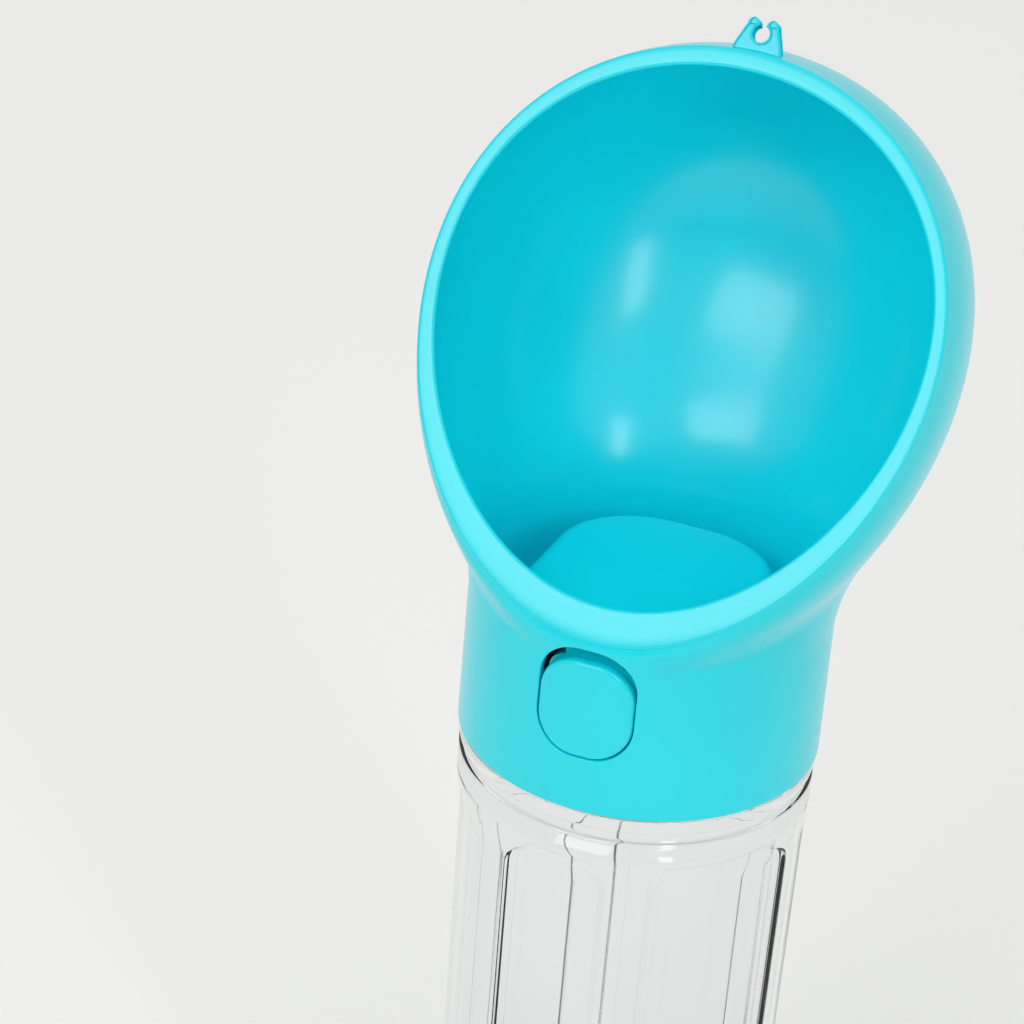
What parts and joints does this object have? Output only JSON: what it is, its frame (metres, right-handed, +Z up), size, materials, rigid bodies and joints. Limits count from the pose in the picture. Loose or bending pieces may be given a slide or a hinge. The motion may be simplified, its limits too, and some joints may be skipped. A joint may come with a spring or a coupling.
{
  "type": "dog travel water bottle",
  "caption": "Travel water bottle for dogs: clear bottle under a turquoise head with a scoop-shaped drinking bowl and a push-button valve.",
  "frame": {"origin": "centre of the bottle's base, in the plane it stands on", "axes": "+Z up along the bottle, -Y towards the button and the lip of the bowl"},
  "size_m": [0.0982, 0.0944, 0.2763],
  "materials": {
    "turquoise": "satin",
    "clear_plastic": "polished",
    "milk_plastic": "satin",
    "silicone": "matte",
    "steel": "satin"
  },
  "bodies": {
    "bottle": {"bottle": "clear_plastic"},
    "gasket": {"neck_gasket": "silicone"},
    "head": {"head_shell": "turquoise", "base_plate": "milk_plastic", "plate_seal": "silicone", "plate_screws": "steel", "valve_body": "milk_plastic", "inlet_seal": "silicone", "valve_screws": "steel", "outlet_nozzle": "milk_plastic", "outlet_seal": "silicone", "return_spring": "steel"},
    "valve": {"plunger": "milk_plastic", "stem_seals": "silicone", "valve_seal": "silicone", "lock_plate": "turquoise"},
    "button": {"button_cap": "turquoise"}
  },
  "joints": [
    {"name": "head_lift", "type": "slide", "parent": "bottle", "child": "gasket", "axis": [0, 0, 1], "range_m": [0, 0.0051]},
    {"name": "head_turn", "type": "hinge", "parent": "gasket", "child": "head", "pos_m": [0, 0, 0.146], "axis": [0, 0, 1], "range_deg": [0, 450]},
    {"name": "button_press", "type": "slide", "parent": "head", "child": "valve", "axis": [0, 1, 0], "range_m": [0, 0.0026], "stiffness_N_per_m": 400, "springref_m": -0.004, "deforming": ["return_spring"]},
    {"name": "button_lock", "type": "slide", "parent": "valve", "child": "button", "axis": [0, 0, 1], "range_m": [0, 0.0023]}
  ],
  "couplings": [
    {"joint": "head_lift", "follows": "head_turn", "m_per_rad": 0.00063662}
  ]
}
